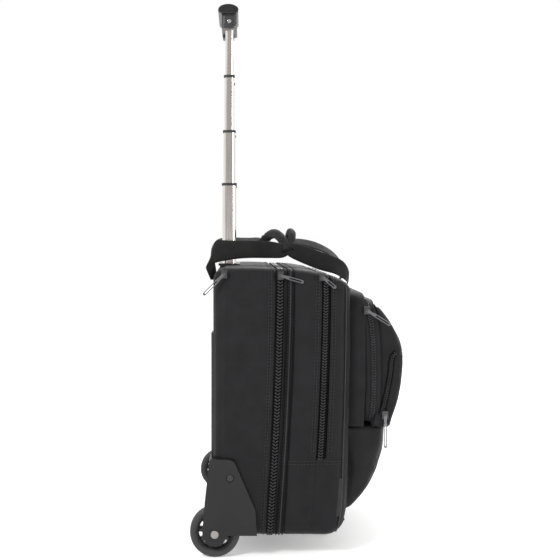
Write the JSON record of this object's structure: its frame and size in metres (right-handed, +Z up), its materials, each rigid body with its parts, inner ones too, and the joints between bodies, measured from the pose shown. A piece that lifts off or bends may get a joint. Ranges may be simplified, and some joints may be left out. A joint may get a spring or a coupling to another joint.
{
  "type": "rolling laptop case",
  "caption": "Soft black rolling laptop case with a multi-stage telescopic trolley, inline wheels, front organizer pockets, an expansion zip and carry handles.",
  "frame": {"origin": "middle of the footprint on the floor, below the centre of the bounding box", "axes": "+X to the front with the pockets, Y across the width with -Y the left side as seen facing the pockets, +Z up; the trolley is pulled out at rest"},
  "size_m": [0.328, 0.4328, 0.874],
  "materials": {
    "case_fabric": "black woven nylon",
    "lining_fabric": "thin dark grey lining",
    "board": "stiff polyethylene board",
    "black_plastic": "black moulded plastic",
    "tube_steel": "brushed tube, grain along its length",
    "grip_plastic": "dark grey moulded plastic",
    "grip_rubber": "soft black grip",
    "bright_metal": "bright plated metal",
    "housing_plastic": "dark grey moulded plastic, lightly textured",
    "dark_metal": "black screw head",
    "steel_parts": "plain steel",
    "hub_plastic": "grey moulded hub",
    "tyre_rubber": "dark grey tyre",
    "webbing": "black woven webbing",
    "slider_metal": "gunmetal plated zinc",
    "puller_metal": "gunmetal plated zinc"
  },
  "bodies": {
    "case_body": {"rear_shell": "case_fabric", "back_board": "board", "base_tray": "black_plastic", "tube_cover": "lining_fabric", "exit_plate": "black_plastic", "expander_gusset": "lining_fabric", "fixed_tubes": "tube_steel", "wheel_housing_left": "housing_plastic", "wheel_housing_right": "housing_plastic", "rear_guards": "housing_plastic", "housing_screws": "dark_metal", "axle_left": "steel_parts", "axle_right": "steel_parts", "axle_caps": "bright_metal"},
    "wheel_left": {"hub_left": "hub_plastic", "tyre_left": "tyre_rubber", "bearings_left": "steel_parts"},
    "wheel_right": {"hub_right": "hub_plastic", "tyre_right": "tyre_rubber", "bearings_right": "steel_parts"},
    "trolley_stage_4": {"stage_4_tube_left": "tube_steel", "stage_4_tube_right": "tube_steel", "stage_4_collars": "black_plastic", "stage_4_lock_blocks": "black_plastic"},
    "trolley_stage_3": {"stage_3_tube_left": "tube_steel", "stage_3_tube_right": "tube_steel", "stage_3_collars": "black_plastic", "stage_3_lock_blocks": "black_plastic"},
    "trolley_stage_2": {"stage_2_tube_left": "tube_steel", "stage_2_tube_right": "tube_steel", "stage_2_collars": "black_plastic", "stage_2_lock_blocks": "black_plastic"},
    "trolley_grip": {"stage_1_tube_left": "tube_steel", "stage_1_tube_right": "tube_steel", "stage_1_lock_blocks": "black_plastic", "grip_frame": "grip_plastic", "grip_cover": "grip_rubber", "grip_screws": "bright_metal", "button_spring": "steel_parts"},
    "grip_button": {"release_button": "black_plastic", "push_rods": "steel_parts"},
    "front_section": {"front_shell": "case_fabric", "divider_board": "board", "laptop_sleeve": "lining_fabric", "pocket_belly": "case_fabric", "front_feet": "black_plastic"},
    "lid": {"document_lid": "case_fabric"},
    "flap": {"pocket_flap": "case_fabric"},
    "rear_carry_handle": {"rear_handle": "webbing"},
    "front_carry_handle": {"front_handle": "webbing"},
    "rear_zip_slider": {"rear_slider": "slider_metal"},
    "rear_zip_puller": {"rear_puller": "puller_metal"},
    "expander_zip_slider": {"expander_slider": "slider_metal"},
    "expander_zip_puller": {"expander_puller": "puller_metal"},
    "document_zip_slider": {"document_slider": "slider_metal"},
    "document_zip_puller": {"document_puller": "puller_metal"},
    "pocket_zip_slider": {"pocket_slider": "slider_metal"},
    "pocket_zip_puller": {"pocket_puller": "puller_metal"},
    "outer_zip_slider": {"outer_slider": "slider_metal"},
    "outer_zip_puller": {"outer_puller": "puller_metal"}
  },
  "joints": [
    {"name": "wheel_left_spin", "type": "hinge", "parent": "case_body", "child": "wheel_left", "pos_m": [-0.126, -0.195, 0.038], "axis": [0, 1, 0], "continuous": true},
    {"name": "wheel_right_spin", "type": "hinge", "parent": "case_body", "child": "wheel_right", "pos_m": [-0.126, 0.195, 0.038], "axis": [0, 1, 0], "continuous": true},
    {"name": "trolley_stage_4_slide", "type": "slide", "parent": "case_body", "child": "trolley_stage_4", "axis": [0, 0, 1], "range_m": [-0.127, 0]},
    {"name": "trolley_stage_3_slide", "type": "slide", "parent": "trolley_stage_4", "child": "trolley_stage_3", "axis": [0, 0, 1], "range_m": [-0.081, 0]},
    {"name": "trolley_stage_2_slide", "type": "slide", "parent": "trolley_stage_3", "child": "trolley_stage_2", "axis": [0, 0, 1], "range_m": [-0.085, 0]},
    {"name": "trolley_stage_1_slide", "type": "slide", "parent": "trolley_stage_2", "child": "trolley_grip", "axis": [0, 0, 1], "range_m": [-0.076, 0]},
    {"name": "release_button_press", "type": "slide", "parent": "trolley_grip", "child": "grip_button", "axis": [0, 0, -1], "range_m": [0, 0.005], "stiffness_N_per_m": 500, "springref_m": -0.003, "deforming": ["button_spring"]},
    {"name": "expander_slide", "type": "slide", "parent": "case_body", "child": "front_section", "axis": [1, 0, 0], "range_m": [0, 0.04], "deforming": ["expander_gusset"]},
    {"name": "document_lid_hinge", "type": "hinge", "parent": "front_section", "child": "lid", "pos_m": [0.15, 0, 0.193], "axis": [0, 1, 0], "range_deg": [0, 40]},
    {"name": "pocket_flap_hinge", "type": "hinge", "parent": "lid", "child": "flap", "pos_m": [0.149, 0, 0.197], "axis": [0, 1, 0], "range_deg": [0, 45]},
    {"name": "rear_handle_swing", "type": "hinge", "parent": "case_body", "child": "rear_carry_handle", "pos_m": [-0.136, 0, 0.405], "axis": [0, -1, 0], "range_deg": [0, 24]},
    {"name": "front_handle_swing", "type": "hinge", "parent": "lid", "child": "front_carry_handle", "pos_m": [0.083, 0, 0.406], "axis": [0, 1, 0], "range_deg": [0, 105]},
    {"name": "rear_slider_travel", "type": "slide", "parent": "case_body", "child": "rear_zip_slider", "axis": [0, 0, -1], "range_m": [0, 0.22]},
    {"name": "rear_puller_swing", "type": "hinge", "parent": "rear_zip_slider", "child": "rear_zip_puller", "pos_m": [-0.112, -0.2132, 0.428], "axis": [0, -1, 0], "range_deg": [-30, 40]},
    {"name": "expander_slider_travel", "type": "slide", "parent": "case_body", "child": "expander_zip_slider", "axis": [0, 0, -1], "range_m": [0, 0.36]},
    {"name": "expander_puller_swing", "type": "hinge", "parent": "expander_zip_slider", "child": "expander_zip_puller", "pos_m": [-0.027, -0.2132, 0.426], "axis": [0, -1, 0], "range_deg": [-60, 70]},
    {"name": "document_slider_travel", "type": "slide", "parent": "front_section", "child": "document_zip_slider", "axis": [0, 0, -1], "range_m": [0, 0.21]},
    {"name": "document_puller_swing", "type": "hinge", "parent": "document_zip_slider", "child": "document_zip_puller", "pos_m": [0.036, -0.2132, 0.424], "axis": [0, -1, 0], "range_deg": [-45, 90]},
    {"name": "pocket_slider_travel", "type": "slide", "parent": "lid", "child": "pocket_zip_slider", "axis": [0, 0, -1], "range_m": [0, 0.11]},
    {"name": "pocket_puller_swing", "type": "hinge", "parent": "pocket_zip_slider", "child": "pocket_zip_puller", "pos_m": [0.106, -0.1892, 0.372], "axis": [0, -1, 0], "range_deg": [-50, 80]},
    {"name": "outer_slider_travel", "type": "slide", "parent": "flap", "child": "outer_zip_slider", "axis": [0, 0, 1], "range_m": [0, 0.1]},
    {"name": "outer_puller_swing", "type": "hinge", "parent": "outer_zip_slider", "child": "outer_zip_puller", "pos_m": [0.134, -0.1885, 0.212], "axis": [0, -1, 0], "range_deg": [-60, 60]}
  ]
}
